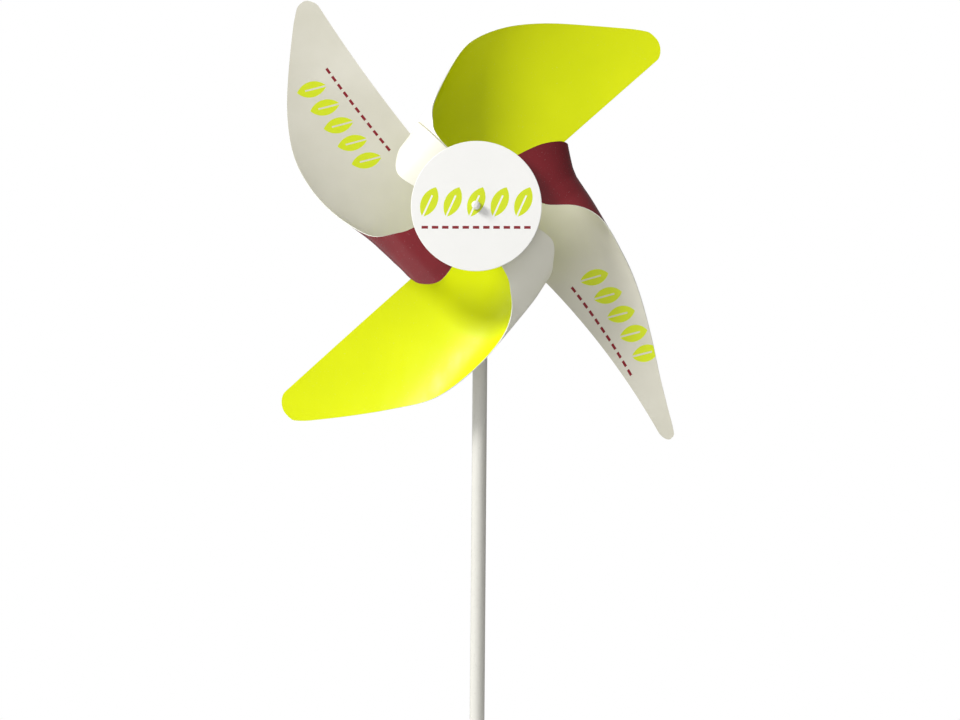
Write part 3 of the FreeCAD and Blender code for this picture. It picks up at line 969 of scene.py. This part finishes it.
# %% Lay the floor
FLOOR_RADIUS = 0.85
FLOOR_SIDES = 128
FLOOR_DROP = 0.5 * MM
FADE_START = 0.35
FADE_END = 0.8
bpy.ops.object.select_all(action="DESELECT")
bpy.ops.mesh.primitive_circle_add(
    vertices=FLOOR_SIDES, radius=FLOOR_RADIUS, fill_type="NGON", location=(0.0, 0.0, -FLOOR_DROP)
)
floor = start_piece("studio_floor")
print("the floor is", 2 * FLOOR_RADIUS, "m across")

# %% Give the floor a finish that fades out
floor_finish, floor_shader = new_finish("floor_pale")
floor_shader.inputs["Base Color"].default_value = (0.84, 0.84, 0.83, 1.0)
floor_shader.inputs["Roughness"].default_value = 0.7
floor_glow = floor_finish.node_tree.nodes.new("ShaderNodeEmission")
floor_mix = floor_finish.node_tree.nodes.new("ShaderNodeMixShader")
floor_place = floor_finish.node_tree.nodes.new("ShaderNodeTexCoord")
floor_distance = floor_finish.node_tree.nodes.new("ShaderNodeVectorMath")
floor_distance.operation = "LENGTH"
feed(floor_finish, floor_place.outputs["Object"], floor_distance.inputs[0])
fade = spread(floor_finish, floor_distance.outputs["Value"], 0.0, 1.0, FADE_START, FADE_END)
floor_ray = floor_finish.node_tree.nodes.new("ShaderNodeLightPath")
seen_fade = sum_of(floor_finish, "MULTIPLY", fade, floor_ray.outputs["Is Camera Ray"])
feed(floor_finish, seen_fade, floor_mix.inputs["Fac"])
feed(floor_finish, floor_shader.outputs["BSDF"], floor_mix.inputs[1])
feed(floor_finish, floor_glow.outputs["Emission"], floor_mix.inputs[2])
floor_output = [item for item in floor_finish.node_tree.nodes if item.type == "OUTPUT_MATERIAL"][0]
feed(floor_finish, floor_mix.outputs["Shader"], floor_output.inputs["Surface"])
floor.data.materials.append(floor_finish)
print("the floor fades out between", FADE_START, "and", FADE_END, "m from the stick")

# %% Lights


def soft_light(name, place, size, power):
    """A square soft light aimed at the middle of the wheel."""
    data = bpy.data.lights.new(name, "AREA")
    data.energy = power
    data.size = size
    light = bpy.data.objects.new(name, data)
    bpy.context.scene.collection.objects.link(light)
    direction = aim - Vector(place)
    light.matrix_world = Matrix.Translation(place) @ direction.to_track_quat("-Z", "Y").to_matrix().to_4x4()
    print(name, "is", round(direction.length, 2), "m from the hub")


KEY_PLACE = (-1.65, -1.13, 1.57)
KEY_SIZE = 0.8
KEY_POWER = 51.0
BACK_PLACE = (-0.7, 1.9, 1.1)
BACK_SIZE = 1.2
BACK_POWER = 8.0
soft_light("key_light", KEY_PLACE, KEY_SIZE, KEY_POWER)
soft_light("back_light", BACK_PLACE, BACK_SIZE, BACK_POWER)

# %% Make the surround
SURROUND_DIM = 0.02
SURROUND_BRIGHT = 0.74
TOWARDS_KEY = Vector(KEY_PLACE) - aim
TOWARDS_KEY.normalize()

world = bpy.data.worlds.new("studio_surround")
bpy.context.scene.world = world
world.use_nodes = True
world_nodes = world.node_tree.nodes
world_nodes.clear()
world_output = world_nodes.new("ShaderNodeOutputWorld")
direction = world_nodes.new("ShaderNodeTexCoord")
facing_key = world_nodes.new("ShaderNodeVectorMath")
facing_key.operation = "DOT_PRODUCT"
facing_key.inputs[1].default_value = TOWARDS_KEY
feed(world, direction.outputs["Generated"], facing_key.inputs[0])
lighting = world_nodes.new("ShaderNodeBackground")
brightness = spread(world, facing_key.outputs["Value"], SURROUND_DIM, SURROUND_BRIGHT, -1.0, 1.0)
feed(world, brightness, lighting.inputs["Strength"])
lighting.inputs["Color"].default_value = (1.0, 1.0, 1.0, 1.0)
backdrop = world_nodes.new("ShaderNodeBackground")
backdrop.inputs["Strength"].default_value = 1.0
backdrop.inputs["Color"].default_value = (1.0, 1.0, 1.0, 1.0)
ray = world_nodes.new("ShaderNodeLightPath")
choose = world_nodes.new("ShaderNodeMixShader")
feed(world, ray.outputs["Is Camera Ray"], choose.inputs["Fac"])
feed(world, lighting.outputs["Background"], choose.inputs[1])
feed(world, backdrop.outputs["Background"], choose.inputs[2])
feed(world, choose.outputs["Shader"], world_output.inputs["Surface"])
bpy.context.scene.view_settings.view_transform = "Standard"
bpy.context.scene.view_settings.look = "None"
print("the surround runs from", SURROUND_DIM, "to", SURROUND_BRIGHT)
print("it is brightest towards", [round(value, 2) for value in TOWARDS_KEY])
